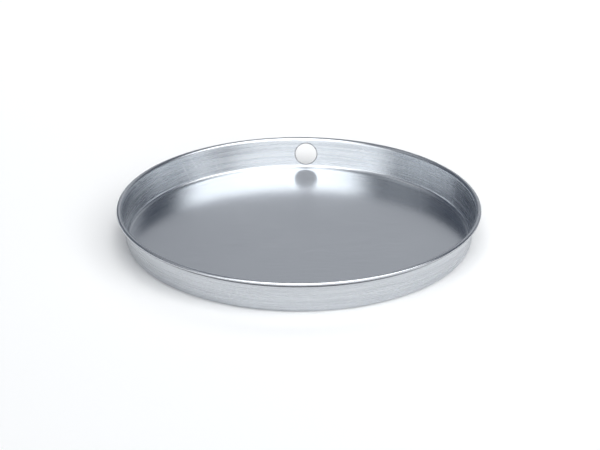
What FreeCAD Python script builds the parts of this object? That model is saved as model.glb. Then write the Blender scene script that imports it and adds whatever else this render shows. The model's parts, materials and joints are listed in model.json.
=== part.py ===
# Round sheet-metal drain pan: one drawn aluminium shell whose edge is curled
# round a steel stiffening wire, with one punched outlet hole at mid height in the wall.
# Frame: millimetres, +Z up, origin at the centre of the underside, and the
# outlet hole on the +Y side.
import FreeCAD, Part
import math
import os

Vector = FreeCAD.Vector

# ---- driving dimensions (mm) ----
SHEET_T = 0.8            # sheet thickness
RIM_OD = 660.4           # over the curled rim, 26 in
PAN_H = 61.0             # underside to the top of the rim
WIRE_D = 4.76            # rim wire, 3/16 in
WIRE_GAP = 0.02          # slip clearance between wire and curl
CORNER_INSIDE_R = 7.0    # between floor and wall
WALL_BASE_R = 313.6      # wall mid-surface, extended down to the underside
WALL_TOP_R = 321.7       # wall mid-surface at the height of the wire centre
LIP_R = 5.4              # mid-surface radius where the wall rolls over into the rim
CURL_END_DEG = -158.0    # where the curl's cut edge stops, 0 = outermost, 90 = top
HOLE_R = 21.4            # outlet hole, clears a 1-1/4 in pipe thread
HOLE_Z = 28.8            # height of the hole's centre on the wall mid-surface
PUNCH_L = 60.0           # cutting cylinder, centred on the wall mid-surface

# ---- derived ----
HALF_T = SHEET_T / 2
CURL_R = WIRE_D / 2 + WIRE_GAP + HALF_T      # curl mid-surface radius
WIRE_RING_R = RIM_OD / 2 - CURL_R - HALF_T   # radius of the wire's centre circle
WIRE_Z = PAN_H - CURL_R - HALF_T             # height of the wire's centre
TAPER = math.atan((WALL_TOP_R - WALL_BASE_R) / WIRE_Z)   # wall's outward lean


def wall_radius(z):
    """Radius of the wall mid-surface at height z."""
    return WALL_BASE_R + z * math.tan(TAPER)


# Arc centres in the XZ section, as (x, z). The corner arc is tangent to the
# floor and to the inner side of the wall; the lip arc is tangent to the outer
# side of the wall and level with the top of the curl.
CORNER_R = CORNER_INSIDE_R + HALF_T          # corner mid-surface radius
CORNER_Z = HALF_T + CORNER_R
CORNER_C = (wall_radius(CORNER_Z) - CORNER_R / math.cos(TAPER), CORNER_Z)
LIP_Z = WIRE_Z + CURL_R - LIP_R
LIP_C = (wall_radius(LIP_Z) + LIP_R / math.cos(TAPER), LIP_Z)
CURL_C = (WIRE_RING_R, WIRE_Z)

# Section angles (radians), 0 = outward, increasing towards +Z.
BOTTOM = -math.pi / 2
TOP = math.pi / 2
WALL_OUT = -TAPER                # wall's outward normal
WALL_IN = math.pi - TAPER        # wall's inward normal
CURL_END = math.radians(CURL_END_DEG)


def polar(centre, radius, angle):
    """Point of the XZ section at an angle on a circle."""
    return Vector(centre[0] + radius * math.cos(angle), 0,
                  centre[1] + radius * math.sin(angle))


def arc(centre, radius, start, end):
    angles = (start, (start + end) / 2, end)
    return Part.Arc(*[polar(centre, radius, a) for a in angles]).toShape()


def sheet_side(side):
    """One face of the sheet in section, from the axis to the curl's cut edge.

    side = +1 is the wetted face (floor top, wall inside, outside of the curl),
    -1 the back. Returns the start point, the edges and the end point.
    """
    offset = side * HALF_T
    corner_r = CORNER_R - offset     # the corner's centre lies on the wetted side
    lip_r = LIP_R + offset           # the lip's and curl's centres lie on the back side
    curl_r = CURL_R + offset
    start = Vector(0, 0, HALF_T + offset)
    end = polar(CURL_C, curl_r, CURL_END)
    edges = [
        Part.makeLine(start, polar(CORNER_C, corner_r, BOTTOM)),
        arc(CORNER_C, corner_r, BOTTOM, WALL_OUT),
        Part.makeLine(polar(CORNER_C, corner_r, WALL_OUT), polar(LIP_C, lip_r, WALL_IN)),
        arc(LIP_C, lip_r, WALL_IN, TOP),
        Part.makeLine(polar(LIP_C, lip_r, TOP), polar(CURL_C, curl_r, TOP)),
        arc(CURL_C, curl_r, TOP, CURL_END),
    ]
    return start, edges, end


def hole_punch():
    """Cylinder square to the sloping wall, through the outlet's centre."""
    centre = Vector(0, wall_radius(HOLE_Z), HOLE_Z)
    normal = Vector(0, math.cos(TAPER), -math.sin(TAPER))
    return Part.makeCylinder(HOLE_R, PUNCH_L, centre - normal * (PUNCH_L / 2), normal)


def pan_shell():
    """Sheet section revolved about Z, with the outlet hole cut in the wall."""
    wet_start, wet_edges, wet_end = sheet_side(+1)
    back_start, back_edges, back_end = sheet_side(-1)
    cut_edge = Part.makeLine(wet_end, back_end)
    axis_edge = Part.makeLine(back_start, wet_start)
    edges = wet_edges + [cut_edge] + back_edges + [axis_edge]
    section = Part.Face(Part.Wire(Part.__sortEdges__(edges)))
    shell = section.revolve(Vector(0, 0, 0), Vector(0, 0, 1), 360)
    solids = shell.cut(hole_punch()).Solids
    assert len(solids) == 1, len(solids)
    return solids[0]


def rim_wire():
    """Closed ring of wire inside the curl."""
    return Part.makeTorus(WIRE_RING_R, WIRE_D / 2, Vector(0, 0, WIRE_Z), Vector(0, 0, 1))


def export(name, shape):
    if shape.Volume < 0:     # an inside-out solid is turned the right way
        shape = shape.reversed()
    assert shape.isValid(), name
    shape.exportStep(f"parts/{name}.step")


os.makedirs("parts", exist_ok=True)
export("pan_shell", pan_shell())
export("rim_wire", rim_wire())
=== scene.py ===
import json
import math
import bpy
import bmesh
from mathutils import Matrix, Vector


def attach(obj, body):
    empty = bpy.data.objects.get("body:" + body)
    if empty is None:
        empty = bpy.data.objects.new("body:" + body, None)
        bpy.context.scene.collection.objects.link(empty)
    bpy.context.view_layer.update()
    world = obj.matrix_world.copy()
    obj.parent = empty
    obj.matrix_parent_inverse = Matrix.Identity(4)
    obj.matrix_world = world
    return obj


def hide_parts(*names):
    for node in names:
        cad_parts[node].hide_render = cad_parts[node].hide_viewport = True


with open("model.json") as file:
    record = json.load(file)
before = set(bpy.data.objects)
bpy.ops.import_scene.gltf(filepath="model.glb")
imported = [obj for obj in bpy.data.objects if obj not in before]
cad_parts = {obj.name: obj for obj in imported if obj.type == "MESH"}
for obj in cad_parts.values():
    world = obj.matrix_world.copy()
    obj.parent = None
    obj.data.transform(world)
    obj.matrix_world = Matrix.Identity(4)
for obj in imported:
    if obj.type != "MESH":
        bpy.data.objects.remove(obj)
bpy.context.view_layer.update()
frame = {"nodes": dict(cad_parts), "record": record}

# ---------------------------------------------------------------- dimensions
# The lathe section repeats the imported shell's: sizes in metres.
SHEET_T = 0.0008
RIM_OD = 0.6604
PAN_H = 0.061
WIRE_D = 0.00476
WIRE_GAP = 0.00002
CORNER_R = 0.007
WALL_BASE_R = 0.3136
WALL_TOP_R = 0.3217
LIP_R = 0.0054
CURL_END = math.radians(-158.0)
MOUNTS = {m["name"]: m for m in frame["record"]["mounts"]}
HOLE = MOUNTS["drain_outlet"]
HOLE_R = HOLE["dims"]["r_mm"] / 1000.0
HOLE_POS = Vector(HOLE["pos_m"])
HOLE_AXIS = Vector(HOLE["axis"]).normalized()

HALF = SHEET_T / 2
CURL_R = WIRE_D / 2 + WIRE_GAP + HALF
WIRE_R0 = RIM_OD / 2 - CURL_R - HALF
WIRE_Z = PAN_H - CURL_R - HALF
TAPER = math.atan((WALL_TOP_R - WALL_BASE_R) / WIRE_Z)
CORNER_RM = CORNER_R + HALF
CZ = HALF + CORNER_RM


def wall_x(z):
    return WALL_BASE_R + z * math.tan(TAPER)


CX = wall_x(CZ) - CORNER_RM / math.cos(TAPER)
LZ = WIRE_Z + CURL_R - LIP_R
LX = wall_x(LZ) + LIP_R / math.cos(TAPER)


# ------------------------------------------------------- lathe mesh of the pan
def middle_line():
    """Points and left-hand normals along the middle of the sheet, floor to curl."""
    pts = []

    def add(x, z, nx, nz):
        pts.append((x, z, nx, nz))

    # flat floor, normal up
    for r in (0.0, 0.02, 0.05, 0.09, 0.14, 0.19, 0.24, 0.28, 0.300):
        add(r, HALF, 0.0, 1.0)
    # corner radius, from straight down round to the wall
    end = -TAPER
    n = 14
    for i in range(n + 1):
        a = -math.pi / 2 + (end + math.pi / 2) * i / n
        add(CX + CORNER_RM * math.cos(a), CZ + CORNER_RM * math.sin(a), -math.cos(a), -math.sin(a))
    # flared wall up to the lip
    z0 = CZ + CORNER_RM * math.sin(end)
    a_lip = math.pi - TAPER
    z1 = LZ + LIP_R * math.sin(a_lip)
    n = 40
    for i in range(1, n):
        z = z0 + (z1 - z0) * i / n
        add(wall_x(z), z, -math.cos(TAPER), math.sin(TAPER))
    # lip rolls outwards
    n = 10
    for i in range(n + 1):
        a = a_lip + (math.pi / 2 - a_lip) * i / n
        add(LX + LIP_R * math.cos(a), LZ + LIP_R * math.sin(a), math.cos(a), math.sin(a))
    # curl round the wire
    n = 30
    for i in range(1, n + 1):
        a = math.pi / 2 + (CURL_END - math.pi / 2) * i / n
        add(WIRE_R0 + CURL_R * math.cos(a), WIRE_Z + CURL_R * math.sin(a), math.cos(a), math.sin(a))
    return pts


def lathe(name, segments=512):
    mid = middle_line()
    inner = [(x + nx * HALF, z + nz * HALF) for x, z, nx, nz in mid]
    outer = [(x - nx * HALF, z - nz * HALF) for x, z, nx, nz in mid]
    inner[0] = (0.0, inner[0][1])
    outer[0] = (0.0, outer[0][1])
    loop = inner + outer[::-1]
    verts, faces = [], []
    rings = []
    for x, z in loop:
        if x < 1e-9:
            rings.append([len(verts)])
            verts.append((0.0, 0.0, z))
            continue
        ring = []
        for s in range(segments):
            # an even count with a vertex at +Y keeps the hole centred
            a = 2 * math.pi * s / segments
            ring.append(len(verts))
            verts.append((x * math.sin(a), x * math.cos(a), z))
        rings.append(ring)
    for i in range(len(rings) - 1):
        A, B = rings[i], rings[i + 1]
        if len(A) == 1 and len(B) == 1:
            continue
        for s in range(segments):
            t = (s + 1) % segments
            if len(A) == 1:
                faces.append((A[0], B[s], B[t]))
            elif len(B) == 1:
                faces.append((A[s], B[0], A[t]))
            else:
                faces.append((A[s], B[s], B[t], A[t]))
    me = bpy.data.meshes.new(name)
    me.from_pydata(verts, [], faces)
    me.update()
    ob = bpy.data.objects.new(name, me)
    bpy.context.scene.collection.objects.link(ob)
    bm = bmesh.new()
    bm.from_mesh(me)
    bmesh.ops.recalc_face_normals(bm, faces=bm.faces)
    bm.to_mesh(me)
    bm.free()
    return ob


def punch(ob):
    """Cuts the outlet hole square to the wall, with the kernel's exact solver."""
    bpy.ops.mesh.primitive_cylinder_add(vertices=128, radius=HOLE_R, depth=0.03, location=HOLE_POS)
    tool = bpy.context.object
    tool.rotation_mode = "QUATERNION"
    tool.rotation_quaternion = HOLE_AXIS.to_track_quat("Z", "Y")
    bpy.context.view_layer.update()
    mod = ob.modifiers.new("punch", "BOOLEAN")
    mod.operation = "DIFFERENCE"
    mod.solver = "EXACT"
    mod.object = tool
    dg = bpy.context.evaluated_depsgraph_get()
    me = bpy.data.meshes.new_from_object(ob.evaluated_get(dg))
    ob.modifiers.clear()
    old = ob.data
    ob.data = me
    bpy.data.meshes.remove(old)
    bpy.data.objects.remove(tool, do_unlink=True)


pan = lathe("pan_sheet_skin")
punch(pan)
for p in pan.data.polygons:
    p.use_smooth = True
for o in bpy.context.selected_objects:
    o.select_set(False)
bpy.context.view_layer.objects.active = pan
pan.select_set(True)
bpy.ops.object.shade_smooth_by_angle(angle=math.radians(28))
pan.select_set(False)


# ------------------------------------------------------------------ materials
def new_material(name):
    m = bpy.data.materials.new(name)
    m.use_nodes = True
    nt = m.node_tree
    for n in list(nt.nodes):
        nt.nodes.remove(n)
    out = nt.nodes.new("ShaderNodeOutputMaterial")
    bsdf = nt.nodes.new("ShaderNodeBsdfPrincipled")
    nt.links.new(bsdf.outputs["BSDF"], out.inputs["Surface"])
    return m, nt, bsdf


def math_node(nt, op, a=None, b=None, c=None, clamp=False):
    n = nt.nodes.new("ShaderNodeMath")
    n.operation = op
    n.use_clamp = clamp
    for i, v in enumerate((a, b, c)):
        if v is None:
            continue
        if isinstance(v, (int, float)):
            n.inputs[i].default_value = v
        else:
            nt.links.new(v, n.inputs[i])
    return n.outputs[0]


def noise(nt, vec, scale, detail=3.0, rough=0.55):
    n = nt.nodes.new("ShaderNodeTexNoise")
    n.inputs["Scale"].default_value = scale
    n.inputs["Detail"].default_value = detail
    n.inputs["Roughness"].default_value = rough
    nt.links.new(vec, n.inputs["Vector"])
    return n.outputs["Fac"]


def map_range(nt, v, a, b, c, d, smooth=False):
    n = nt.nodes.new("ShaderNodeMapRange")
    n.clamp = True
    n.interpolation_type = "SMOOTHSTEP" if smooth else "LINEAR"
    nt.links.new(v, n.inputs["Value"])
    for key, val in zip(("From Min", "From Max", "To Min", "To Max"), (a, b, c, d)):
        n.inputs[key].default_value = val
    return n.outputs["Result"]


def combine(nt, x, y, z):
    n = nt.nodes.new("ShaderNodeCombineXYZ")
    for i, v in enumerate((x, y, z)):
        if isinstance(v, (int, float)):
            n.inputs[i].default_value = v
        else:
            nt.links.new(v, n.inputs[i])
    return n.outputs[0]


def sheet_material():
    m, nt, bsdf = new_material("satin_drawn_aluminium")
    geo = nt.nodes.new("ShaderNodeTexCoord").outputs["Object"]
    sep = nt.nodes.new("ShaderNodeSeparateXYZ")
    nt.links.new(geo, sep.inputs[0])
    X, Y, Z = sep.outputs
    r2 = math_node(nt, "ADD", math_node(nt, "MULTIPLY", X, X), math_node(nt, "MULTIPLY", Y, Y))
    R = math_node(nt, "SQRT", r2)
    # unit circle coordinates: noise on them has no seam, and varies only round the pan
    ux = math_node(nt, "DIVIDE", X, math_node(nt, "MAXIMUM", R, 1e-4))
    uy = math_node(nt, "DIVIDE", Y, math_node(nt, "MAXIMUM", R, 1e-4))
    wall = map_range(nt, R, 0.306, 0.3125, 0.0, 1.0, True)

    # drawing lines run round the wall: fine in height, long round the circle
    fine = noise(nt, combine(nt, math_node(nt, "MULTIPLY", ux, 1.6), math_node(nt, "MULTIPLY", uy, 1.6),
                             math_node(nt, "MULTIPLY", Z, 620.0)), 1.0, 4.0, 0.62)
    broad = noise(nt, combine(nt, math_node(nt, "MULTIPLY", ux, 0.9), math_node(nt, "MULTIPLY", uy, 0.9),
                              math_node(nt, "MULTIPLY", Z, 130.0)), 1.0, 2.0, 0.5)
    # the floor keeps the rolled sheet's faint straight grain, along one direction
    grain = noise(nt, combine(nt, math_node(nt, "MULTIPLY", X, 14.0), math_node(nt, "MULTIPLY", Y, 1500.0), 0.0), 1.0, 3.0, 0.6)
    cloud = noise(nt, geo, 7.0, 3.0, 0.55)
    speck = noise(nt, geo, 900.0, 2.0, 0.5)
    # sparse hairline scratches, thin ridges of a stretched noise
    sc = noise(nt, combine(nt, math_node(nt, "MULTIPLY", math_node(nt, "ADD", X, math_node(nt, "MULTIPLY", Y, 0.55)), 9.0),
                           math_node(nt, "MULTIPLY", math_node(nt, "SUBTRACT", Y, math_node(nt, "MULTIPLY", X, 0.55)), 210.0), 3.7), 1.0, 1.5, 0.5)
    scratch = map_range(nt, math_node(nt, "ABSOLUTE", math_node(nt, "SUBTRACT", sc, 0.62)), 0.0, 0.004, 1.0, 0.0)

    def mix(a, b, f):
        n = nt.nodes.new("ShaderNodeMix")
        n.data_type = "FLOAT"
        for sock, v in ((n.inputs[0], f), (n.inputs[2], a), (n.inputs[3], b)):
            if isinstance(v, (int, float)):
                sock.default_value = v
            else:
                nt.links.new(v, sock)
        return n.outputs[0]

    # colour: cool satin aluminium, a touch darker in the streaks and clouds
    ramp = nt.nodes.new("ShaderNodeValToRGB")
    ramp.color_ramp.elements[0].position = 0.30
    ramp.color_ramp.elements[0].color = (0.60, 0.622, 0.65, 1)
    ramp.color_ramp.elements[1].position = 0.70
    ramp.color_ramp.elements[1].color = (0.745, 0.768, 0.79, 1)
    under = math_node(nt, "LESS_THAN", Z, 0.0002)
    # the outer part of the underside, where the pan slides on the floor, is scuffed
    scuff_a = noise(nt, combine(nt, math_node(nt, "MULTIPLY", X, 22.0), math_node(nt, "MULTIPLY", Y, 420.0), 9.1), 1.0, 5.0, 0.7)
    scuff_b = noise(nt, combine(nt, math_node(nt, "MULTIPLY", X, 360.0), math_node(nt, "MULTIPLY", Y, 26.0), 2.3), 1.0, 5.0, 0.7)
    scuff_n = math_node(nt, "MAXIMUM", scuff_a, scuff_b)
    scuff = math_node(nt, "MULTIPLY", math_node(nt, "MULTIPLY", under, map_range(nt, R, 0.17, 0.300, 0.25, 1.0, True)),
                      map_range(nt, scuff_n, 0.51, 0.66, 0.0, 1.0, True))
    tone = mix(mix(map_range(nt, cloud, 0.2, 0.8, 0.36, 0.62), grain, 0.55), mix(broad, fine, 0.28), wall)
    nt.links.new(tone, ramp.inputs[0])
    bsdf.inputs["Metallic"].default_value = 1.0

    # the punched hole's sheared edge: duller and darker for a fraction of a millimetre
    d = [math_node(nt, "SUBTRACT", c, v) for c, v in zip((X, Y, Z), HOLE_POS)]
    along = math_node(nt, "ADD", math_node(nt, "MULTIPLY", d[1], HOLE_AXIS.y), math_node(nt, "MULTIPLY", d[2], HOLE_AXIS.z))
    sq = math_node(nt, "ADD", math_node(nt, "MULTIPLY", d[0], d[0]),
                   math_node(nt, "ADD", math_node(nt, "MULTIPLY", d[1], d[1]), math_node(nt, "MULTIPLY", d[2], d[2])))
    off = math_node(nt, "SQRT", math_node(nt, "MAXIMUM", math_node(nt, "SUBTRACT", sq, math_node(nt, "MULTIPLY", along, along)), 0.0))
    edge = map_range(nt, off, HOLE_R + 0.0007, HOLE_R + 0.0024, 1.0, 0.0, True)
    dark = nt.nodes.new("ShaderNodeMix")
    dark.data_type = "RGBA"
    nt.links.new(edge, dark.inputs[0])
    nt.links.new(ramp.outputs[0], dark.inputs[6])
    dark.inputs[7].default_value = (0.20, 0.205, 0.22, 1)
    # painted shade: the groove under the curl on the outside is darkened in the base colour, standing in for the shade
    # that falls in that crevice
    out_by = math_node(nt, "SUBTRACT", R, math_node(nt, "ADD", math_node(nt, "MULTIPLY", Z, math.tan(TAPER)), WALL_BASE_R))
    curl_shade_mask = math_node(nt, "MULTIPLY", map_range(nt, out_by, 0.0001, 0.0003, 0.0, 1.0),
                       math_node(nt, "MULTIPLY", map_range(nt, Z, 0.0486, 0.0502, 0.0, 1.0, True),
                                 map_range(nt, Z, 0.0558, 0.0574, 1.0, 0.0, True)))
    curl_shade_mask = math_node(nt, "MULTIPLY", curl_shade_mask, map_range(nt, broad, 0.25, 0.6, 0.7, 0.95))
    # near-black colour of the painted shade under the curl, mixed in along the groove
    curl_shade_mix = nt.nodes.new("ShaderNodeMix")
    curl_shade_mix.data_type = "RGBA"
    nt.links.new(curl_shade_mask, curl_shade_mix.inputs[0])
    nt.links.new(dark.outputs[2], curl_shade_mix.inputs[6])
    curl_shade_mix.inputs[7].default_value = (0.10, 0.105, 0.12, 1)
    nt.links.new(curl_shade_mix.outputs[2], bsdf.inputs["Base Color"])

    # hairline scratches catch the light, scuffs dull it
    worn = nt.nodes.new("ShaderNodeMix")
    worn.data_type = "RGBA"
    nt.links.new(math_node(nt, "MULTIPLY", scratch, 0.35), worn.inputs[0])
    nt.links.new(curl_shade_mix.outputs[2], worn.inputs[6])
    worn.inputs[7].default_value = (0.88, 0.89, 0.91, 1)
    rubbed = nt.nodes.new("ShaderNodeMix")
    rubbed.data_type = "RGBA"
    nt.links.new(math_node(nt, "MULTIPLY", scuff, 0.45), rubbed.inputs[0])
    nt.links.new(worn.outputs[2], rubbed.inputs[6])
    rubbed.inputs[7].default_value = (0.36, 0.37, 0.39, 1)
    nt.links.new(rubbed.outputs[2], bsdf.inputs["Base Color"])

    # reflections smear across the grain: front to back on the floor, up and down on the wall
    bsdf.inputs["Anisotropic"].default_value = 0.55
    nt.links.new(combine(nt, 0.0, math_node(nt, "SUBTRACT", 1.0, wall), wall), bsdf.inputs["Tangent"])

    # roughness: glossier floor, satin wall, streaky
    r_floor = math_node(nt, "ADD", map_range(nt, cloud, 0.3, 0.7, FLOOR_ROUGH[0], FLOOR_ROUGH[1]),
                        map_range(nt, grain, 0.3, 0.7, -0.015, 0.02))
    r_wall = math_node(nt, "ADD", map_range(nt, fine, 0.3, 0.7, WALL_ROUGH[0], WALL_ROUGH[1]),
                       map_range(nt, broad, 0.3, 0.7, -0.03, 0.03))
    rough = mix(r_floor, r_wall, wall)
    rough = math_node(nt, "ADD", rough, math_node(nt, "MULTIPLY", scratch, 0.10), clamp=True)
    rough = math_node(nt, "ADD", rough, math_node(nt, "MULTIPLY", scuff, 0.22), clamp=True)
    nt.links.new(rough, bsdf.inputs["Roughness"])

    # relief: drawing lines on the wall, grain and scratches on the floor, microscopic
    h_wall = math_node(nt, "ADD", math_node(nt, "MULTIPLY", fine, 0.8), math_node(nt, "MULTIPLY", broad, 1.4))
    h_floor = math_node(nt, "ADD", math_node(nt, "MULTIPLY", grain, 0.35), math_node(nt, "MULTIPLY", speck, 0.25))
    h_floor = math_node(nt, "SUBTRACT", h_floor, math_node(nt, "MULTIPLY", scratch, 0.9))
    bump = nt.nodes.new("ShaderNodeBump")
    bump.inputs["Strength"].default_value = 0.16
    bump.inputs["Distance"].default_value = 0.00002
    nt.links.new(mix(h_floor, h_wall, wall), bump.inputs["Height"])
    nt.links.new(bump.outputs["Normal"], bsdf.inputs["Normal"])
    return m


def wire_material():
    m, nt, bsdf = new_material("galvanised_wire")
    geo = nt.nodes.new("ShaderNodeTexCoord").outputs["Object"]
    spangle = nt.nodes.new("ShaderNodeTexVoronoi")
    spangle.inputs["Scale"].default_value = 320.0
    nt.links.new(geo, spangle.inputs["Vector"])
    n = noise(nt, geo, 140.0, 4.0, 0.6)
    ramp = nt.nodes.new("ShaderNodeValToRGB")
    ramp.color_ramp.elements[0].color = (0.38, 0.39, 0.40, 1)
    ramp.color_ramp.elements[1].color = (0.62, 0.63, 0.64, 1)
    nt.links.new(math_node(nt, "MULTIPLY", spangle.outputs["Distance"], 1.4, clamp=True), ramp.inputs[0])
    nt.links.new(ramp.outputs[0], bsdf.inputs["Base Color"])
    bsdf.inputs["Metallic"].default_value = 1.0
    nt.links.new(map_range(nt, n, 0.3, 0.7, 0.32, 0.55), bsdf.inputs["Roughness"])
    bump = nt.nodes.new("ShaderNodeBump")
    bump.inputs["Strength"].default_value = 0.4
    bump.inputs["Distance"].default_value = 0.00005
    nt.links.new(n, bump.inputs["Height"])
    nt.links.new(bump.outputs["Normal"], bsdf.inputs["Normal"])
    return m


FLOOR_ROUGH = (0.155, 0.185)
WALL_ROUGH = (0.23, 0.31)
TOP_POWER = 20
KEY_POWER = 20
WASH_POWER = 70
SKY_BASE = 0.11
SKY_DIFFUSE = 0.50
# side, azimuth, inner and outer half-width, elevation, inner and outer half-width, value
SKY = (
    ("front", -8, 38, 62, 7, 10, 20, 2.15),
    ("front", 25, 56, 84, 57, 22, 29, 2.85),
    ("front", 60, 12, 27, 8, 9, 18, 0.95),
    ("front", -100, 20, 45, 50, 5, 14, 0.45),
    ("back", 9, 12, 38, 24, 9, 24, 0.37),
    ("front", 0, 181, 182, 90, 12, 30, 0.34),
    ("front", 0, 181, 182, -90, 60, 84, 0.55),
    ("back", -94, 10, 24, 38, 8, 18, 0.16),
    ("back", 90, 12, 28, 38, 8, 18, 0.20),
)
sheet = sheet_material()
wire = wire_material()
pan.data.materials.clear()
pan.data.materials.append(sheet)
for name, mat in (("pan_shell", sheet), ("rim_wire", wire)):
    node = frame["nodes"][name]
    if not node.material_slots:
        node.data.materials.append(mat)
    for s in node.material_slots:
        s.material = mat

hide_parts("pan_shell")
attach(pan, "root")

# ---------------------------------------------------------------------- stage
bpy.ops.mesh.primitive_plane_add(size=60, location=(0, 0, -0.0006))
floor = bpy.context.object
floor.name = "studio_floor"
fm, fnt, fb = new_material("pale_floor")
fgeo = fnt.nodes.new("ShaderNodeTexCoord").outputs["Object"]
fr = fnt.nodes.new("ShaderNodeValToRGB")
fr.color_ramp.elements[0].color = (0.77, 0.77, 0.775, 1)
fr.color_ramp.elements[1].color = (0.80, 0.80, 0.805, 1)
fnt.links.new(noise(fnt, fgeo, 3.0), fr.inputs[0])
# paler straight to the camera than in the pan's reflections of it
lift = fnt.nodes.new("ShaderNodeMix")
lift.data_type = "RGBA"
fnt.links.new(fnt.nodes.new("ShaderNodeLightPath").outputs["Is Camera Ray"], lift.inputs[0])
fnt.links.new(fr.outputs[0], lift.inputs[6])
lift.inputs[7].default_value = (0.965, 0.965, 0.96, 1)
fnt.links.new(lift.outputs[2], fb.inputs["Base Color"])
fb.inputs["Roughness"].default_value = 0.8
# seen from below the floor is clear, so the pan's underside can be looked at
clear = fnt.nodes.new("ShaderNodeBsdfTransparent")
side = fnt.nodes.new("ShaderNodeMixShader")
# rays under 2 mm long come from the pan's own underside, just above the floor
short = math_node(fnt, "LESS_THAN", fnt.nodes.new("ShaderNodeLightPath").outputs["Ray Length"], 0.002)
fnt.links.new(math_node(fnt, "MAXIMUM", fnt.nodes.new("ShaderNodeNewGeometry").outputs["Backfacing"], short), side.inputs[0])
# far off it fades into the backdrop's own tone, so no horizon line shows
fsep = fnt.nodes.new("ShaderNodeSeparateXYZ")
fnt.links.new(fgeo, fsep.inputs[0])
far = math_node(fnt, "SQRT", math_node(fnt, "ADD", math_node(fnt, "MULTIPLY", fsep.outputs[0], fsep.outputs[0]),
                                       math_node(fnt, "MULTIPLY", fsep.outputs[1], fsep.outputs[1])))
fade = math_node(fnt, "MULTIPLY", map_range(fnt, far, 1.2, 4.5, 0.0, 1.0, True),
                 fnt.nodes.new("ShaderNodeLightPath").outputs["Is Camera Ray"])
glow = fnt.nodes.new("ShaderNodeEmission")
glow.inputs["Color"].default_value = (0.97, 0.97, 0.97, 1)
near_far = fnt.nodes.new("ShaderNodeMixShader")
fnt.links.new(fade, near_far.inputs[0])
fnt.links.new(fb.outputs[0], near_far.inputs[1])
fnt.links.new(glow.outputs[0], near_far.inputs[2])
fnt.links.new(near_far.outputs[0], side.inputs[1])
fnt.links.new(clear.outputs[0], side.inputs[2])
fout = next(n for n in fnt.nodes if n.type == "OUTPUT_MATERIAL")
fnt.links.new(side.outputs[0], fout.inputs["Surface"])
floor.data.materials.append(fm)


def area(name, loc, target, sx, sy, power, color=(1, 1, 1)):
    d = bpy.data.lights.new(name, "AREA")
    d.shape = "RECTANGLE"
    d.size, d.size_y, d.energy, d.color = sx, sy, power, color
    o = bpy.data.objects.new(name, d)
    bpy.context.scene.collection.objects.link(o)
    o.location = loc
    o.rotation_euler = (Vector(target) - Vector(loc)).to_track_quat("-Z", "Y").to_euler()
    return o


# these three only light the floor and the shading; mirror rays see the surroundings instead
area("top_soft", (0.0, -0.2, 3.0), (0, 0, 0), 1.6, 1.6, TOP_POWER, (0.98, 0.99, 1.0)).visible_glossy = False
area("key_right", (2.3, -1.5, 1.75), (0, 0, 0), 1.5, 1.0, KEY_POWER, (1.0, 1.0, 1.0)).visible_glossy = False
area("back_wash", (0.0, 3.2, 3.0), (0, 3.4, 0), 5.0, 2.4, WASH_POWER, (1.0, 1.0, 1.0)).visible_glossy = False

# The surroundings a polished pan mirrors: pale sweep low in front, a large
# softbox above the camera, a mid-grey wall behind and darker sides.
world = bpy.data.worlds.new("studio")
bpy.context.scene.world = world
world.use_nodes = True
wnt = world.node_tree
for n in list(wnt.nodes):
    wnt.nodes.remove(n)
wout = wnt.nodes.new("ShaderNodeOutputWorld")
wbg = wnt.nodes.new("ShaderNodeBackground")
wnt.links.new(wbg.outputs[0], wout.inputs[0])
wtc = wnt.nodes.new("ShaderNodeTexCoord").outputs["Generated"]
wsep = wnt.nodes.new("ShaderNodeSeparateXYZ")
wnt.links.new(wtc, wsep.inputs[0])
WX, WY, WZ = wsep.outputs
deg = math.radians(1.0)
# degrees round from straight in front (-Y) and from straight behind (+Y), + to +X
az_front = math_node(wnt, "DIVIDE", math_node(wnt, "ARCTAN2", WX, math_node(wnt, "MULTIPLY", WY, -1.0)), deg)
az_back = math_node(wnt, "DIVIDE", math_node(wnt, "ARCTAN2", WX, WY), deg)
elev = math_node(wnt, "DIVIDE", math_node(wnt, "ARCSINE", WZ), deg)


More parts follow.
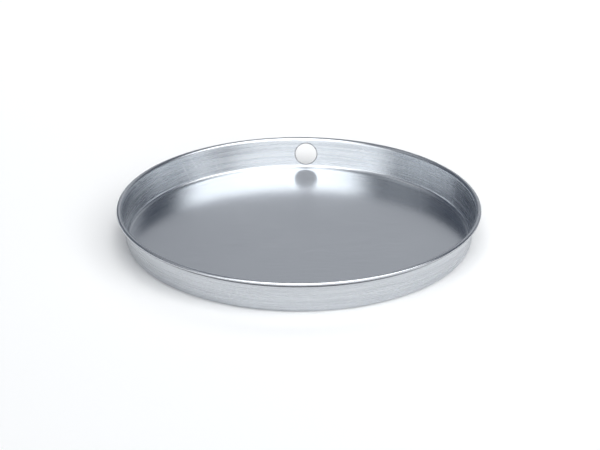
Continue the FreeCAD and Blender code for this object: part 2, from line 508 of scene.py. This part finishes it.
def patch(az, a0, a_in, a_out, e0, e_in, e_out, value):
    """A soft-edged patch of sky: full inside the inner half-widths, gone past the outer."""
    da = math_node(wnt, "ABSOLUTE", math_node(wnt, "SUBTRACT", az, a0))
    de = math_node(wnt, "ABSOLUTE", math_node(wnt, "SUBTRACT", elev, e0))
    return math_node(wnt, "MULTIPLY", map_range(wnt, da, a_in, a_out, value, 0.0, True),
                     map_range(wnt, de, e_in, e_out, 1.0, 0.0, True))


total = None
for args in SKY:
    side, rest = args[0], args[1:]
    p = patch(az_front if side == "front" else az_back, *rest)
    total = p if total is None else math_node(wnt, "ADD", total, p)
# neutral patches over a bluish dim room
tinted = [math_node(wnt, "ADD", math_node(wnt, "MULTIPLY", total, pt), SKY_BASE * bt)
          for pt, bt in ((0.99, 0.86), (1.0, 0.98), (1.005, 1.26))]
pale = wnt.nodes.new("ShaderNodeMix")
pale.data_type = "RGBA"
# diffuse rays see a dimmer sky, so the pale floor isn't overlit by the softboxes
path = wnt.nodes.new("ShaderNodeLightPath")
wnt.links.new(path.outputs["Is Camera Ray"], pale.inputs[0])
wnt.links.new(combine(wnt, *tinted), pale.inputs[6])
pale.inputs[7].default_value = (0.97, 0.97, 0.97, 1)
wnt.links.new(pale.outputs[2], wbg.inputs[0])
wnt.links.new(map_range(wnt, path.outputs["Is Diffuse Ray"], 0.0, 1.0, 1.0, SKY_DIFFUSE), wbg.inputs[1])

# --------------------------------------------------------------------- camera
ELEV, AZIM, DIST = math.radians(24.22), math.radians(2.6), 2.616
target = Vector((0, 0, 0.02845))
back = Vector((math.sin(AZIM) * math.cos(ELEV), -math.cos(AZIM) * math.cos(ELEV), math.sin(ELEV)))
cd = bpy.data.cameras.new("camera")
cam = bpy.data.objects.new("camera", cd)
bpy.context.scene.collection.objects.link(cam)
cam.location = target + back * DIST
cam.rotation_euler = (-back).to_track_quat("-Z", "Y").to_euler()
cd.sensor_width = 36
cd.lens = 85.8
cd.shift_x = 0.0018
cd.shift_y = -0.0118
bpy.context.scene.camera = cam
bpy.context.scene.view_settings.view_transform = "Standard"
